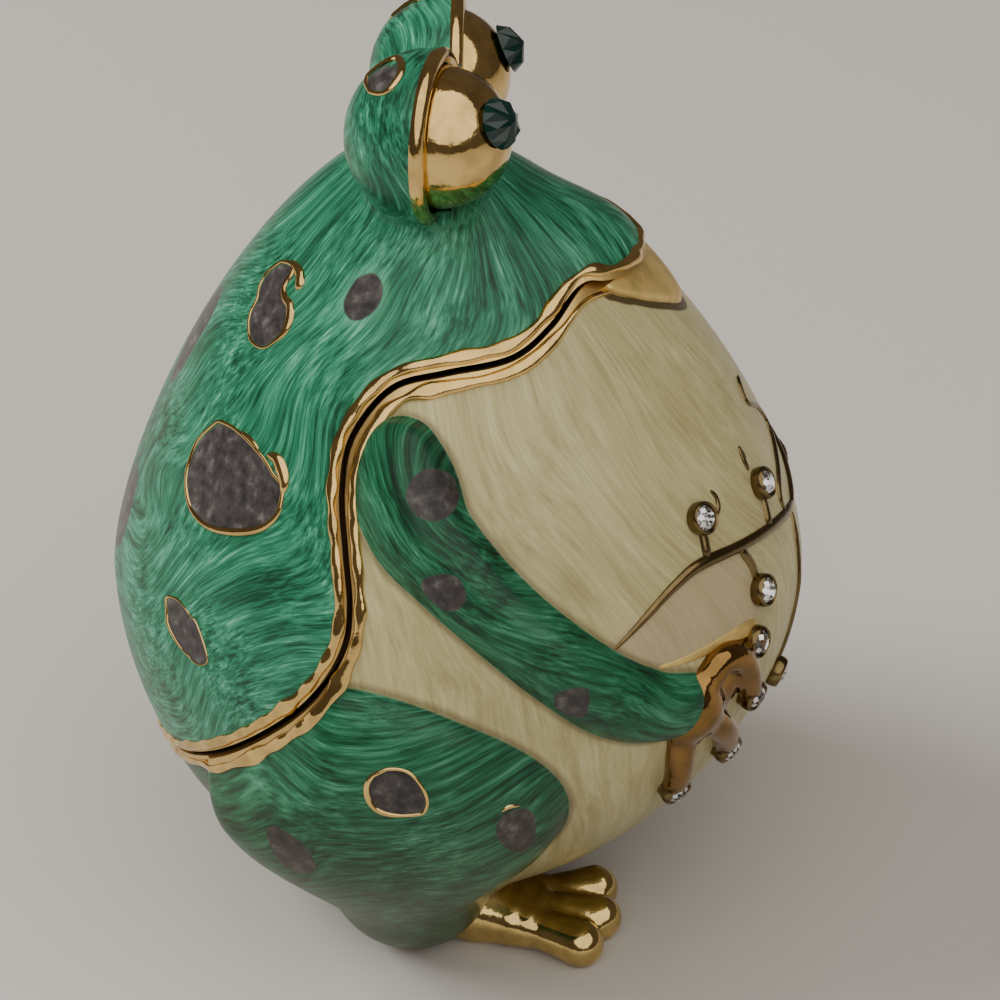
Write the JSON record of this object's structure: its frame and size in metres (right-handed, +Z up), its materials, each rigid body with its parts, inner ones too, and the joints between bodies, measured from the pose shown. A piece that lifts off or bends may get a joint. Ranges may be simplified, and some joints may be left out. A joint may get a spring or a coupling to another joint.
{
  "type": "frog trinket box",
  "caption": "Egg-shaped enamelled frog figurine that opens along a wavy seam into a hollow base and a lift-off lid, set with small crystals.",
  "frame": {"origin": "centre of the bounding box's underside, on the surface the frog sits on", "axes": "+Z up, -Y the way the frog faces, +X the frog's left"},
  "size_m": [0.0628, 0.0604, 0.0806],
  "materials": {
    "cream_enamel": "glossy streaked enamel over a cast metal base, with gold-plated rims and details",
    "green_enamel": "glossy pearly streaked enamel over a cast metal lid, with gold-plated rims",
    "gold": "polished gold plating",
    "clear_crystal": "clear faceted crystal",
    "dark_green_crystal": "dark green faceted crystal"
  },
  "bodies": {
    "root": {"base": "cream_enamel", "lid": "green_enamel", "eye_crystal_right": "dark_green_crystal", "eye_crystal_left": "dark_green_crystal", "fingertip_crystal_right_1": "clear_crystal", "fingertip_crystal_right_2": "clear_crystal", "fingertip_crystal_right_3": "clear_crystal", "fingertip_crystal_right_4": "clear_crystal", "fingertip_crystal_left_1": "clear_crystal", "fingertip_crystal_left_2": "clear_crystal", "fingertip_crystal_left_3": "clear_crystal", "fingertip_crystal_left_4": "clear_crystal", "vine_crystal_right_1": "clear_crystal", "vine_crystal_right_2": "clear_crystal", "vine_crystal_right_3": "clear_crystal", "vine_crystal_left_1": "clear_crystal", "vine_crystal_left_2": "clear_crystal", "vine_crystal_middle": "clear_crystal"}
  },
  "joints": []
}
